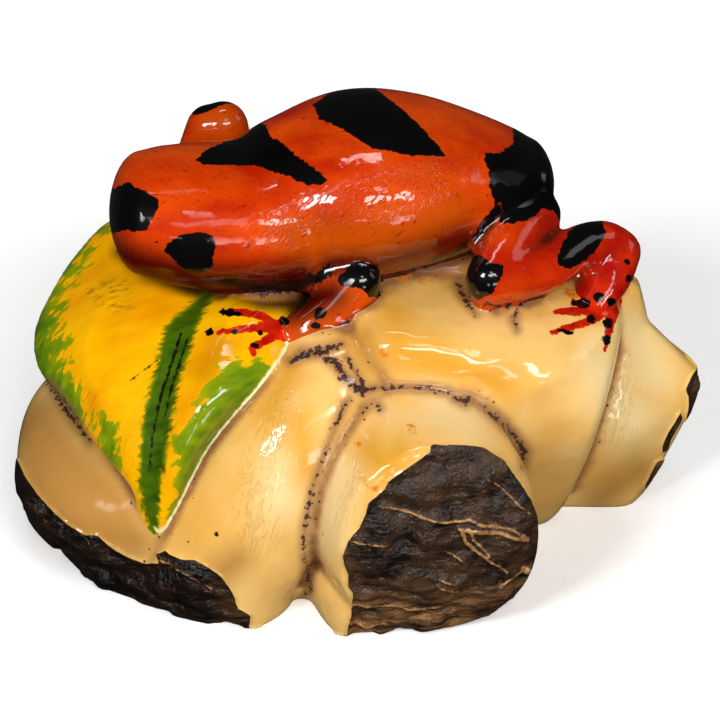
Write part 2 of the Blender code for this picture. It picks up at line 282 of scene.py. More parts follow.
def end_stub():
    """The narrow stub at the right, set back from the shoulder, with a small step at its root."""
    corners = [
        (12, 3, 20), (24, 4.2, 20), (30.7, 4.5, 12.3), (29.7, 3.2, 9.6), (24, 12, 14.6), (29.2, 11.5, 8.4),
        (12, 12, 18), (12, 0, 10), (23, -0.9, 9), (27, 2.3, 6.2), (23.8, 1.2, -1), (25.6, 4, -1),
        (12, 2, -2), (12, 14, -2), (25, 11, -2),
    ]
    root = [
        (17, 3, 20.5), (22.4, 2.6, 21.2), (24.3, 4.6, 22), (24.3, 7, 21.6), (25.4, 5, 17.8), (25, 8.5, 17.5),
        (23.5, 11, 17.5), (17, 10, 19), (17, 2, 12), (25, 2.5, 12), (25, 10, 10), (17, 11, 10),
    ]
    return [block(corners, rounding=3), block(root, rounding=3)]


def back_stubs():
    """The two plain boulders behind, which the photographed side hides."""
    right = pebble((8, 11, 9), (11, 9, 12.5), lean=(8, 0, -12), corner=2.5)
    left = pebble((-10, 10.5, 8.5), (10.5, 9.5, 12.5), lean=(8, 0, 14), corner=2.4)
    return [right, left]


def base():
    """Every form that the nut's flesh is cut into, under the leaf and the frog."""
    return [*heart(), *left_stub(), *front_stub(), *drum_stub(), *shoulder_stub(), *end_stub(), *back_stubs()]


# Leaf
#
# A broad leaf carved in one with the nut, a thick curved blade that drapes over its left shoulder. Its midrib
# runs from under the frog's chin to a tip low at the front.

LEAF_THICKNESS = 2.6 * MM
# How far each half of the blade swells, as a share of the blade's width there.
LEAF_SWELL = 0.035


def leaf():
    """The leaf: a thick curved blade from under the frog's chin to its tip low at the front."""
    # Each row crosses the leaf: its left edge, its midrib and its right edge.
    rows = [
        ((-18, 17.5, 19), (-12, 15.5, 23), (-5, 13, 24)),
        ((-22.5, 14, 22.8), (-12.5, 9, 25), (-3.5, 7, 24.5)),
        ((-26, 11, 21.1), (-12.5, 2, 24), (-4.5, 2, 24)),
        ((-28.5, 7, 18.5), (-14.5, -2.3, 23.2), (-5, -2.5, 22.5)),
        ((-29.3, 4, 17.3), (-16, -5.4, 21.8), (-6, -6, 21.5)),
        ((-28.9, 1, 15.9), (-16.6, -8, 20.4), (-8.5, -9, 20.9)),
        ((-26.8, -2.6, 15.2), (-16.9, -10, 18.8), (-11.3, -11.3, 19.4)),
        ((-23.4, -8, 14.2), (-17.3, -12.3, 15.4), (-14, -12.9, 16.2)),
        ((-19.9, -11.5, 12), (-17.5, -13.3, 11.6), (-15.8, -13.7, 11.5)),
        ((-18.1, -13, 8.4), (-17.7, -13.5, 8.3), (-17.2, -13.6, 8.4)),
    ]
    columns = [smooth_stations([row[i] for row in rows], 6) for i in range(3)]
    inward = on_nut(-8, 4, 4)
    across = (0, 0.02, 0.05, 0.12, 0.22, 0.32, 0.42, 0.5, 0.58, 0.68, 0.78, 0.88, 0.95, 0.98, 1)
    mesh = bmesh.new()
    grid = []
    for left, middle, right in zip(*columns):
        # The control point between the edges pulls the curve's middle onto the midrib.
        pulled = [2 * m - (a + b) / 2 for a, m, b in zip(left, middle, right)]
        swell = (on_nut(*left) - on_nut(*right)).length * LEAF_SWELL
        line = []
        for t in across:
            shares = ((1 - t) ** 2, 2 * t * (1 - t), t**2)
            point = on_nut(*(sum(s * c for s, c in zip(shares, ends)) for ends in zip(left, pulled, right)))
            line.append(point - (inward - point).normalized() * swell * math.sin(2 * math.pi * t) ** 2)
        grid.append(line)

    def sunk(i, j, depth):
        """A point of the blade, sunk into the nut. The rim's edges are taken off."""
        from_rim = min(j, len(across) - 1 - j, 2)
        bevel = (0.3, 0.1, 0)[from_rim]
        share = bevel + (1 - 2 * bevel) * depth
        return grid[i][j] + (inward - grid[i][j]).normalized() * LEAF_THICKNESS * share

    top = [[mesh.verts.new(sunk(i, j, 0)) for j in range(len(across))] for i in range(len(grid))]
    under = [[mesh.verts.new(sunk(i, j, 1)) for j in range(len(across))] for i in range(len(grid))]
    length, width = len(grid), len(grid[0])
    for i in range(length - 1):
        for j in range(width - 1):
            mesh.faces.new((top[i][j], top[i + 1][j], top[i + 1][j + 1], top[i][j + 1]))
            mesh.faces.new((under[i][j], under[i][j + 1], under[i + 1][j + 1], under[i + 1][j]))
    rim = [(i, 0) for i in range(length)] + [(length - 1, j) for j in range(1, width)]
    rim += [(i, width - 1) for i in range(length - 2, -1, -1)] + [(0, j) for j in range(width - 2, 0, -1)]
    for (i, j), (k, m) in zip(rim, rim[1:] + rim[:1]):
        mesh.faces.new((top[i][j], under[i][j], under[k][m], top[k][m]))
    bmesh.ops.recalc_face_normals(mesh, faces=mesh.faces)
    return mesh


# Frog
#
# A frog at rest on the leaf and the stubs, carved in one with them: a blunt head, a full belly and thin bent
# legs, rounded with a file. Its toes are only painted.

# The frog is laid out in steps of its own from its seat on the nut, also 1 mm each at this size.
FROG_LENGTH = 38 * MM
FROG_STEP = FROG_LENGTH / 38
FROG_SEAT = (2, 8, 25)


def on_frog(x, y, z):
    """The same place in the frog's own steps, which are sized with the frog."""
    seat = Vector(FROG_SEAT)
    return on_nut(*seat) + (Vector((x, y, z)) - seat) * FROG_STEP


def frog_body():
    """The frog's head and trunk: a blunt snout, a slight neck and a full belly that tapers to the rump."""
    path = [
        (-18.7, 3.2, 30.2, 6.2, 4.65),
        (-17, 3.4, 30.0, 6.8, 5.05),
        (-14, 4, 29.4, 7.4, 5.5),
        (-9, 5.5, 28.6, 7.9, 5.8),
        (-5, 6.9, 29.0, 8.8, 6.7),
        (0, 8, 30.2, 10, 6.8),
        (5, 9, 30.1, 9.5, 6.1),
        (10, 10, 29.4, 7.6, 4.9),
        (13.2, 10.8, 28.7, 5.9, 4.0),
        (14.8, 11.1, 28.4, 4.6, 3.3),
    ]
    return [loft(path, on_frog, FROG_STEP, corner=2.3, steps=6, sides=40, dome_reach=0.6)]


def near_foreleg():
    """The near foreleg: back from the shoulder to the elbow, and forward again to the wrist on the leaf."""
    upper = [(-6.5, 3, 25.6, 2, 2), (-2.8, -0.4, 25.9, 1.9, 1.9), (0, -1.7, 26.3, 1.85, 1.85)]
    forearm = [(-2.2, -2.6, 24, 1.95, 1.95), (-4.7, -3.4, 22.6, 1.75, 1.7), (-6.3, -3.4, 22.1, 1.3, 1.1)]
    return [upper, [upper[-1], *forearm]]


def near_hind_leg():
    """The near hind leg, folded in a Z: hip to knee, knee to ankle, and a flat foot that turns forward."""
    thigh = [(15.2, 6.8, 27.6, 2.3, 2.4), (13, 2.7, 27.5, 2.4, 2.5), (11, -1.6, 26.4, 2.1, 2.3)]
    shin = [
        thigh[-1],
        (13.8, -0.2, 25.9, 2.1, 2.1),
        (16.5, 1.7, 25.7, 2.0, 2.0),
        (18.8, 4.4, 25.7, 1.95, 2.0),
        (21.1, 6.4, 24.9, 2.05, 2.05),
        (22.5, 6.2, 24.2, 2.05, 2.05),
    ]
    foot = [shin[-1], (21.8, 4.6, 23.4, 2.2, 1.8), (20.9, 3, 22.6, 2.2, 1.4), (20, 1.6, 22.1, 1.7, 0.9)]
    return [thigh, shin, foot]


def far_legs():
    """The far foreleg, whose elbow stands up behind the head, and the far hind leg down the back."""
    upper = [(-5, 12, 26, 2.2, 2.2), (-10.4, 15, 24, 2.3, 2.3), (-12.1, 17, 30.4, 2.25, 2.25)]
    lower = [(-13.3, 17, 30.2, 2.15, 2.15), (-14.3, 16.6, 26.5, 2.3, 2.3), (-15.8, 15.5, 22, 1.7, 1.7)]
    thigh = [(13, 12, 27.4, 2.2, 2.2), (9, 17, 26.6, 2.5, 2.6), (4, 19, 24.8, 1.9, 2.0)]
    shin = [thigh[-1], (8.5, 19.3, 22.8, 2.0, 2.0), (12.6, 17.6, 21.4, 1.7, 1.7)]
    foot = [shin[-1], (14, 18.2, 19.5, 1.6, 1.4), (15, 18.3, 17, 1.0, 0.8)]
    return [upper, lower, thigh, shin, foot]


def frog():
    """The frog's body and its four bent legs."""
    legs = [*near_foreleg(), *near_hind_leg(), *far_legs()]
    return [*frog_body(), *(loft(leg, on_frog, FROG_STEP, sides=16) for leg in legs)]


# One skin
#
# The forms are closed shells that cross. A fine remesh turns them into the single skin of one carving, rubbed
# smooth as with sandpaper, and the underside is sanded flat so that it stands.

GRAIN = 0.37 * MM
RUBBINGS = 5


def joined(name, forms):
    """One object that holds every form, as closed shells that still cross each other."""
    whole = bmesh.new()
    for form in forms:
        shell = bpy.data.meshes.new("shell")
        form.to_mesh(shell)
        form.free()
        whole.from_mesh(shell)
        bpy.data.meshes.remove(shell)
    mesh = bpy.data.meshes.new(name)
    whole.to_mesh(mesh)
    whole.free()
    obj = bpy.data.objects.new(name, mesh)
    bpy.context.scene.collection.objects.link(obj)
    return obj


def apply_modifiers(obj):
    """Makes the object's modified shape its own mesh."""
    graph = bpy.context.evaluated_depsgraph_get()
    shaped = bpy.data.meshes.new_from_object(obj.evaluated_get(graph))
    obj.modifiers.clear()
    obj.data = shaped


def saw_flat(obj):
    """Saws the underside flat at Z = 0 and closes the cut."""
    mesh = bmesh.new()
    mesh.from_mesh(obj.data)
    whole = [*mesh.verts, *mesh.edges, *mesh.faces]
    cut = bmesh.ops.bisect_plane(mesh, geom=whole, plane_no=(0, 0, -1), clear_outer=True)
    rim = [part for part in cut["geom_cut"] if isinstance(part, bmesh.types.BMEdge)]
    bmesh.ops.triangle_fill(mesh, use_beauty=True, edges=rim, normal=(0, 0, -1))
    bmesh.ops.triangulate(mesh, faces=mesh.faces)
    bmesh.ops.recalc_face_normals(mesh, faces=mesh.faces)
    mesh.to_mesh(obj.data)
    mesh.free()


stub_forms, leaf_form, frog_forms = base(), leaf(), frog()
trees = {"stubs": stub_forms, "leaf": [leaf_form], "frog": frog_forms}
trees = {name: [BVHTree.FromBMesh(form) for form in forms] for name, forms in trees.items()}
nut = joined("carved_nut", [*stub_forms, leaf_form, *frog_forms])
remesh = nut.modifiers.new("one skin", "REMESH")
remesh.mode = "VOXEL"
remesh.voxel_size = GRAIN
rub = nut.modifiers.new("rub", "SMOOTH")
rub.factor = 0.5
rub.iterations = RUBBINGS
apply_modifiers(nut)
saw_flat(nut)


# Places of the marks
#
# What is painted, scratched or spilt is laid on by its place in the picture, in pixels. A closed outline or a
# brush stroke gives how far each point of the carving lies inside it, in millimetres.

# Pale fibres in the nut's skin, as strokes of x, y and width.
FIBRES = [
    [(377, 506, 1), (393, 509, 3), (412, 514, 2), (437, 520, 3), (455, 522, 4), (471, 521, 3), (488, 527, 3),
     (513, 528, 4), (528, 538, 2)],
    [(459, 530, 3), (477, 531, 5), (499, 533, 4), (528, 539, 4)],
    [(462, 531, 4), (466, 543, 4), (480, 555, 3), (499, 566, 3), (507, 571, 2)],
    [(471, 533, 2), (475, 543, 3), (490, 556, 2)],
    [(485, 477, 1), (499, 486, 2), (513, 499, 2), (531, 515, 2)],
    [(353, 539, 2), (374, 543, 2), (394, 544, 1)],
    [(353, 603, 3), (389, 607, 3), (417, 609, 2), (462, 603, 2)],
    [(417, 610, 2), (456, 615, 2)],
    [(352, 624, 3), (386, 626, 2)],
    [(433, 577, 2), (455, 581, 2)],
    [(447, 552, 2), (469, 565, 2)],
    [(436, 584, 2), (461, 591, 2)],
    [(500, 585, 3), (531, 570, 5)],
    [(161, 560, 2), (190, 573, 2), (214, 590, 1)],
]
# Lines cut down the midrib with a graver, and a thin side vein.
GRAVER = [
    [(181, 334, 3), (175, 352, 3), (168, 375, 2), (161, 395, 3), (156, 418, 2), (152, 440, 2.5),
     (149, 470, 1.5)],
    [(187, 340, 2), (180, 362, 2.5), (170, 392, 2), (164, 420, 1.5)],
    [(157, 360, 1), (145, 370, 1.5), (130, 381, 1)],
]
# Dark smears, mostly in the creases: filing dust and lacquer gathered there, and painted shade in the
# gaps under the frog's head and under the leaf's left edge.
GRIME_AND_SHADE = [
    [(200, 279, 3), (235, 283, 10), (262, 290, 15), (290, 286, 17), (318, 279, 14), (334, 268, 7)],
    [(388, 277, 3), (425, 266, 5), (458, 252, 6), (470, 238, 4)],
    [(290, 361, 5), (303, 354, 10), (318, 353, 9), (342, 344, 3)],
    [(324, 357, 5), (336, 364, 8), (348, 380, 10), (362, 391, 9), (376, 388, 5)],
    [(346, 357, 2), (354, 371, 3), (363, 386, 4)],
    [(376, 388, 3), (420, 387, 2), (447, 392, 4)],
    [(455, 399, 5), (466, 402, 7)],
    [(480, 405, 2), (502, 424, 4), (514, 435, 4), (524, 451, 7), (523, 468, 3)],
    [(350, 398, 2), (345, 404, 5), (337, 423, 3), (322, 460, 3), (312, 490, 2), (306, 520, 2.5),
     (303, 548, 1)],
    [(48, 381, 2), (57, 394, 5), (66, 408, 6), (78, 425, 5), (90, 442, 2)],
    [(457, 284, 3), (465, 299, 5), (476, 314, 2)],
    [(484, 303, 2), (505, 307, 3.5), (522, 305, 2)],
    [(518, 308, 1.5), (514, 321, 4), (517, 330, 1.5)],
    [(376, 402, 1), (380, 408, 3)],
    [(304, 555, 2), (311, 590, 3), (300, 598, 2)],
]

# The hands' toes are under a millimetre wide, and the lines finer still, so the mesh is finer near them.
HAND = (247, 328)
HIND_FOOT = (597, 312)
TOES_REACH = 4.5
LINE_REACH = 0.45
# How many rounds of evening out show a crease, and how many a broad valley.
CREASE_ROUNDS = 24
VALLEY_ROUNDS = 220
# A mark is followed this far from its border, in millimetres.
FADE = 3
# How fast a mark closes where the surface turns away from the camera, in millimetres for each unit of facing.
TURN = 5.0
# The facing at which broad marks close, just over the edge of what the camera sees.
OVER_EDGE = -0.1

shell = BVHTree.FromPolygons(
    [vert.co for vert in nut.data.vertices], [tuple(face.vertices) for face in nut.data.polygons]
)


def seen_at(x, y):
    """The point of the carving that shows at a pixel, in millimetres, or nothing beside the carving."""
    hit = shell.ray_cast(Vector(EYE * MM), Vector(sight(x, y)))[0]
    return hit and np.array(hit) / MM


def refine(obj, near, reach):
    """Halves the edges within a reach of some points, all in millimetres, so that finer marks fit there."""
    finder = KDTree(len(near))
    for index, place in enumerate(near):
        finder.insert(place, index)
    finder.balance()
    mesh = bmesh.new()
    mesh.from_mesh(obj.data)
    close = []
    for edge in mesh.edges:
        middle = (edge.verts[0].co + edge.verts[1].co) / 2 / MM
        if finder.find(middle)[2] < reach:
            close.append(edge)
    bmesh.ops.subdivide_edges(mesh, edges=close, cuts=1, use_grid_fill=True)
    bmesh.ops.triangulate(mesh, faces=[face for face in mesh.faces if len(face.verts) > 3])
    mesh.to_mesh(obj.data)
    mesh.free()


def places_along(lines, apart=4):
    """Points of the carving along strokes, spaced in pixels."""
    spots = []
    for line in lines:
        for (ax, ay, _), (bx, by, _) in zip(line, line[1:]):
            count = math.ceil(math.hypot(bx - ax, by - ay) / apart)
            shares = [i / count for i in range(count + 1)]
            spots += [seen_at(ax + (bx - ax) * share, ay + (by - ay) * share) for share in shares]
    return [spot for spot in spots if spot is not None]


refine(nut, [seen_at(*HAND), seen_at(*HIND_FOOT)], TOES_REACH)
refine(nut, places_along(FIBRES + GRAVER + GRIME_AND_SHADE[2:]), LINE_REACH)


def numbers(attribute, width):
    """A row of numbers for each point of the carving."""
    read = np.empty(len(nut.data.vertices) * width, np.float32)
    nut.data.vertices.foreach_get(attribute, read)
    return read.reshape(-1, width).astype(float)


points = numbers("co", 3) / MM
normals = numbers("normal", 3)
pixels = in_picture(points)
to_eye = EYE - points
facing = np.sum(normals * to_eye, 1) / np.linalg.norm(to_eye, axis=1)
corners = [Vector(p * MM) for p in points]


def distance_to(name):
    """How far each point of the carving is from the nearest of its stubs, its leaf or its frog."""
    return np.array([min(tree.find_nearest(c)[3] for tree in trees[name]) for c in corners]) / MM


def hollow(rounds):
    """How far the surface lies under the mean of its neighbourhood, in millimetres: high in a crease."""
    ends = np.array([edge.vertices[:] for edge in nut.data.edges])
    count = np.bincount(ends.ravel(), minlength=len(points))
    level = points.copy()
    for _ in range(rounds):
        total = [
            np.bincount(ends[:, 0], level[ends[:, 1], i], len(points))
            + np.bincount(ends[:, 1], level[ends[:, 0], i], len(points))
            for i in range(3)
        ]
        level = 0.5 * level + 0.5 * np.stack(total, 1) / count[:, None]
    return np.sum((level - points) * normals, 1)


def inside(outline):
    """How far each point of the carving lies inside an outline, as the camera sees it."""
    return inside_flat(pixels, outline) / PIXELS_PER_MM


def inside_flat(places, outline):
    """How far places on a plane lie inside an outline on it."""
    x, y = places[:, 0], places[:, 1]
    within = np.zeros(len(x), bool)
    closest = np.full(len(x), np.inf)
    for (ax, ay), (bx, by) in zip(outline, outline[1:] + outline[:1]):
        dx, dy = bx - ax, by - ay
        share = np.clip(((x - ax) * dx + (y - ay) * dy) / (dx * dx + dy * dy), 0, 1)
        closest = np.minimum(closest, np.hypot(x - ax - share * dx, y - ay - share * dy))
        if dy:
            within ^= ((ay > y) != (by > y)) & (x < ax + (y - ay) * dx / dy)
    return np.where(within, closest, -closest)


def stroke(*stations):
    """How far each point lies inside a brush stroke through stations of x, y and width."""
    x, y = pixels[:, 0], pixels[:, 1]
    deepest = np.full(len(x), -np.inf)
    for (ax, ay, aw), (bx, by, bw) in zip(stations, stations[1:]):
        dx, dy = bx - ax, by - ay
        share = np.clip(((x - ax) * dx + (y - ay) * dy) / (dx * dx + dy * dy), 0, 1)
        half = (aw + (bw - aw) * share) / 2
        deepest = np.maximum(deepest, half - np.hypot(x - ax - share * dx, y - ay - share * dy))
    return deepest / PIXELS_PER_MM


def dot(x, y, width):
    """How far each point lies inside a round dot."""
    return stroke((x - 0.5, y, width), (x + 0.5, y, width))


def this_side(field, limit=0.0):
    """Closes a mark where the surface turns away from the camera."""
    return np.minimum(field, (facing - limit) * TURN)


def laid_on(lines):
    """How far each point lies inside the nearest of some broad strokes."""
    return np.clip(this_side(np.max([stroke(*line) for line in lines], 0), OVER_EDGE), -FADE, FADE)


from_stubs, from_leaf, from_frog = (distance_to(name) for name in ("stubs", "leaf", "frog"))
fields = {
    "frog_mm": np.clip(np.minimum(from_stubs, from_leaf) - from_frog, -FADE, FADE),
    "leaf_mm": np.clip(np.minimum(from_stubs, from_frog) - from_leaf, -FADE, FADE),
    "crease_mm": hollow(CREASE_ROUNDS),
    "valley_mm": hollow(VALLEY_ROUNDS),
}


# Lacquered tagua
#
# Filed and polished tagua under a thick dip of clear lacquer: cream where it was cut deep, amber near the
# nut's skin, with painted light on some lit faces and painted shade in the valleys, under the frog and in the
# creases, where dark filing dust is also caught. Light goes a little way in, as in ivory.

# Orange stain that ran off the brush onto the bare wood.
SPILT = [
    [(388, 272, 4), (396, 278, 7), (412, 276, 4)],
    [(420, 280, 3), (432, 280, 4)],
    [(381, 352, 2), (386, 356, 3)],
    [(362, 479, 3), (370, 488, 4), (378, 490, 2)],
    [(356, 441, 3), (359, 446, 3)],
    [(568, 292, 6), (577, 297, 7)],
    [(408, 424, 2), (412, 431, 3)],
]
# Patches that the lacquer made yellower.
YELLOWED = [
    [(372, 452, 18), (388, 470, 22), (400, 450, 12)],
    [(348, 330, 16), (372, 352, 20)],
    [(290, 370, 14), (268, 410, 18)],
    [(392, 318, 20), (402, 350, 24), (470, 372, 20), (500, 385, 14)],
    [(300, 420, 12), (306, 470, 12)],
    [(220, 348, 22), (206, 372, 22)],
]
# Browner wood nearer the nut's skin, with painted shade in the second and third strokes.
TANNED_AND_SHADED = [
    [(35, 425, 56), (58, 475, 84), (100, 514, 84), (132, 540, 46)],
    [(640, 470, 30), (600, 498, 26)],
    [(366, 335, 14), (372, 362, 18)],
    [(236, 560, 24), (214, 580, 30)],
]
# Paler wood, cut from deep inside, with painted light where the stubs face the lamps.
BARED_AND_LIT = [
    [(285, 470, 20), (278, 500, 20)],
    [(340, 470, 12), (326, 540, 16)],
    [(600, 370, 24), (630, 420, 30)],
    [(636, 335, 20), (650, 372, 26)],
    [(440, 405, 20), (470, 420, 20)],
]
# Where handling wore the lacquer thin.
DULL = [
    [(150, 226, 24), (250, 228, 24)],
    [(165, 187, 30), (250, 190, 30)],
    [(262, 165, 20), (292, 148, 20)],
    [(300, 440, 22), (322, 395, 26), (345, 372, 20)],
    [(236, 318, 20), (240, 350, 22)],
    [(368, 330, 20), (376, 362, 20)],
    [(500, 170, 20), (548, 200, 24)],
    [(90, 505, 22), (125, 508, 22)],
    [(316, 320, 14), (346, 288, 14)],
    [(118, 262, 24), (160, 284, 22), (250, 292, 24), (310, 284, 16)],
]
# Where the file's strokes show in the gloss.
FILED = [
    [(262, 232, 18), (290, 228, 30), (330, 210, 36), (380, 196, 34), (440, 176, 30)],
    [(283, 400, 22), (272, 440, 34), (262, 480, 46), (256, 530, 46)],
    [(622, 395, 24), (616, 432, 34)],
    [(352, 470, 16), (345, 520, 16)],
    [(90, 392, 14), (140, 470, 12)],
]

fields["spilt_mm"] = laid_on(SPILT)
fields["yellowed_mm"] = laid_on(YELLOWED)
fields["tanned_and_shaded_mm"] = laid_on(TANNED_AND_SHADED)
fields["bared_and_lit_mm"] = laid_on(BARED_AND_LIT)
fields["dull_mm"] = laid_on(DULL)
fields["filed_mm"] = laid_on(FILED)
fields["grime_and_shade_mm"] = laid_on(GRIME_AND_SHADE) - 0.1


def colour(hex_value):
    """An sRGB hex colour as the linear numbers that a shader takes."""
    channels = [int(hex_value[i : i + 2], 16) / 255 for i in (0, 2, 4)]
    return (*(c / 12.92 if c <= 0.04045 else ((c + 0.055) / 1.055) ** 2.4 for c in channels), 1)


def node(tree, kind, inputs, output=0, **settings):
    """Adds a shader node with its settings and links. An input is a plain value or another node's output."""
    made = tree.nodes.new("ShaderNode" + kind)
    for name, value in settings.items():
        setattr(made, name, value)
    for name, value in inputs.items():
        if isinstance(value, bpy.types.NodeSocket):
            tree.links.new(value, made.inputs[name])
        else:
            made.inputs[name].default_value = value
    return made.outputs[output] if made.outputs else None


def new_material(name):
    """A material with an empty tree, and its places in millimetres."""
    material = bpy.data.materials.new(name)
    material.use_nodes = True
    tree = material.node_tree
    tree.nodes.clear()
    here = node(tree, "TexCoord", {}, "Object")
    return material, tree, node(tree, "VectorMath", {0: here, "Scale": 1 / MM}, operation="SCALE")


# A small brush's bristles leave an edge that is ragged at this size.
BRISTLE = 0.5


def brushed(tree, place, under, name, tint, ragged, soft):
    """A mark painted over a colour. Its edge wanders by the bristles and fades, both in millimetres."""
    depth = node(tree, "Attribute", {}, "Fac", attribute_name=name)
    bristles = node(tree, "TexNoise", {"Vector": place, "Scale": 1 / BRISTLE, "Detail": 3})
    limits = {"Value": bristles, "From Min": 0.3, "From Max": 0.7, "To Min": -ragged, "To Max": ragged}
    wandering = node(tree, "Math", {0: depth, 1: node(tree, "MapRange", limits)})
    limits = {"Value": wandering, "From Min": -soft, "From Max": soft}
    cover = node(tree, "MapRange", limits, interpolation_type="SMOOTHSTEP")
    return node(tree, "MixRGB", {0: cover, 1: under, 2: tint})


def blotched(tree, place, size, low, high, first, second, detail=3):
    """A colour that drifts between two over blotches of a size in millimetres."""
    blotches = node(tree, "TexNoise", {"Vector": place, "Scale": 1 / size, "Detail": detail})
    share = node(tree, "MapRange", {"Value": blotches, "From Min": low, "From Max": high})
    return node(tree, "MixRGB", {0: share, 1: first, 2: second})


def stained(tree, under, name, start, full, tint):
    """A tint over a colour, from where a measure of the surface passes start to where it reaches full."""
    measure = node(tree, "Attribute", {}, "Fac", attribute_name=name)
    limits = {"Value": measure, "From Min": start, "From Max": full}
    share = node(tree, "MapRange", limits, interpolation_type="SMOOTHSTEP")
    return node(tree, "MixRGB", {0: share, 1: under, 2: tint})


# A speck of dust is ragged at this size and by this much, in millimetres.
GRIT = 0.5
GRIT_WANDER = 0.35


def dusted(tree, place, under, apart, widest, tint):
    """Specks of filing dust, spaced in millimetres, thick in the creases and thin elsewhere."""
    warped = node(tree, "TexNoise", {"Vector": place, "Scale": 1 / GRIT, "Detail": 2}, "Color")
    ragged = node(tree, "VectorMath", {0: warped, 1: (GRIT_WANDER,) * 3}, operation="MULTIPLY")
    moved = node(tree, "VectorMath", {0: place, 1: ragged})
    cells = {"Vector": moved, "Scale": 1 / apart}
    distance = node(tree, "TexVoronoi", cells, "Distance")
    pick = node(tree, "TexVoronoi", cells, "Color")
    crease = node(tree, "Attribute", {}, "Fac", attribute_name="crease_mm")
    limits = {"Value": crease, "From Min": -0.02, "From Max": 0.16, "To Min": 0.10, "To Max": 0.75}
    crowding = node(tree, "MapRange", limits)
    chosen = node(tree, "Math", {0: pick, 1: crowding}, operation="LESS_THAN")
    limits = {"Value": distance, "From Min": widest / apart, "From Max": widest / apart * 0.6}
    speck = node(tree, "MapRange", limits)
    share = node(tree, "Math", {0: speck, 1: chosen}, operation="MULTIPLY")
    return node(tree, "MixRGB", {0: share, 1: under, 2: tint})


# The frog's black enamel.
BLACK = colour("050404")


def toes_and_dots(tree, place, under):
    """The frog's red toes and black dots, painted over whatever lies under them."""
    red = blotched(tree, place, 1.2, 0.35, 0.7, colour("A80A02"), colour("D82806"))
    toes = brushed(tree, place, under, "red_mm", red, 0.10, 0.05)
    return brushed(tree, place, toes, "black_mm", BLACK, 0.12, 0.04)


def lacquer_relief(tree, place, lean, depth):
    """The lacquer's surface: slow waves from the dip, and the file's strokes where they weren't rubbed out.

    The strokes are about 0.3 mm wide and 3 mm long, and lean by radians about Y. The depth is in millimetres.
    """
    waves = node(tree, "TexNoise", {"Vector": place, "Scale": 1 / 3.2, "Detail": 2})
    slow = node(tree, "Bump", {"Height": waves, "Distance": 0.16 * MM})
    size = {"Rotation": (0, lean, 0), "Scale": (0.32, 0.42, 3.3)}
    turned = node(tree, "Mapping", {"Vector": place, **size}, vector_type="TEXTURE")
    strokes = node(tree, "TexNoise", {"Vector": turned, "Scale": 1, "Detail": 3, "Roughness": 0.6})
    limits = {"Value": strokes, "From Min": 0.50, "From Max": 0.62, "To Min": 1, "To Max": 0}
    grooves = node(tree, "MapRange", limits)
    filed = node(tree, "Attribute", {}, "Fac", attribute_name="filed_mm")
    limits = {"Value": filed, "From Min": -1.2, "From Max": 0.8, "To Min": 0.04, "To Max": 1}
    inputs = {"Height": grooves, "Distance": depth * MM, "Strength": node(tree, "MapRange", limits)}
    return node(tree, "Bump", inputs | {"Normal": slow})


# The lacquer set glossy. What lies under it was sanded, so it is matt. Worn places keep a little lacquer.
GLOSS = 0.035
SANDED = 0.42
WORN_COAT = 0.12


def lacquered(tree, paint, roughness, relief, **inputs):
    """Ends a tree in a painted or bare surface under clear lacquer, which alone gives the gloss."""
    inputs = {name.replace("_", " "): value for name, value in inputs.items()}
    inputs |= {"Base Color": paint, "Roughness": roughness, "IOR": 1.5, "Specular IOR Level": 0.05}
    inputs |= {"Coat IOR": 1.5}
    inputs |= {"Normal": relief, "Coat Normal": relief}
    dull = node(tree, "Attribute", {}, "Fac", attribute_name="dull_mm")
    thinned = {"Value": dull, "From Min": -0.6, "From Max": 0.4, "To Min": 1, "To Max": WORN_COAT}
    worn = node(tree, "MapRange", thinned, interpolation_type="SMOOTHSTEP")
    coat = node(tree, "Math", {0: inputs.pop("Coat Weight", 1), 1: worn}, operation="MULTIPLY")
    surface = node(tree, "BsdfPrincipled", {"Coat Weight": coat, "Coat Roughness": GLOSS, **inputs})
    node(tree, "OutputMaterial", {"Surface": surface})


def begrimed_and_shaded(tree, place, under, ragged):
    """Filing dust in the lacquer, and painted shade in gaps: a soft purple-brown smear with black grit in it.
    """
    smear = stained(tree, under, "grime_and_shade_mm", -1.0, 0.5, colour("84583C"))
    grit = blotched(tree, place, 0.5, 0.40, 0.62, colour("1A0F10"), colour("4E3230"))
    return brushed(tree, place, smear, "grime_and_shade_mm", grit, ragged, 0.08)


# What tints the wood, from where to where in millimetres, and the colour. The first row is paler wood with
# painted light on lit faces, the fourth is browner wood with some painted shade, and the valley and crease
# rows and the last row, under the frog, are painted shade.
TINTS = [
    ("bared_and_lit_mm", -3, 1.5, "F8DA9C"),
    ("yellowed_mm", -2.5, 1.4, "DE9E30"),
    ("valley_mm", 0.0, 1.4, "C88C40"),
    ("tanned_and_shaded_mm", -2, 2, "B68440"),
    ("crease_mm", 0.0, 0.28, "94643C"),
    ("shade_under_mm", -0.7, 1.0, "3A2204"),
]
tagua, tree, place = new_material("lacquered_tagua")
flesh = blotched(tree, place, 7, 0.35, 0.68, colour("F4C87A"), colour("E9B45C"))
flesh = blotched(tree, place, 9, 0.50, 0.75, flesh, colour("E4AC50"), detail=2)
for name, start, full, tint in TINTS:
    flesh = stained(tree, flesh, name, start, full, colour(tint))
flesh = dusted(tree, place, flesh, 0.8, 0.15, colour("3A2320"))
flesh = dusted(tree, place, flesh, 2.4, 0.28, colour("2A1818"))
flesh = brushed(tree, place, flesh, "spilt_mm", colour("DC7814"), 0.30, 0.20)
flesh = begrimed_and_shaded(tree, place, flesh, 0.45)
crease = node(tree, "Attribute", {}, "Fac", attribute_name="crease_mm")
limits = {"Value": crease, "From Min": 0.04, "From Max": 0.2, "To Min": 1, "To Max": 0.15}
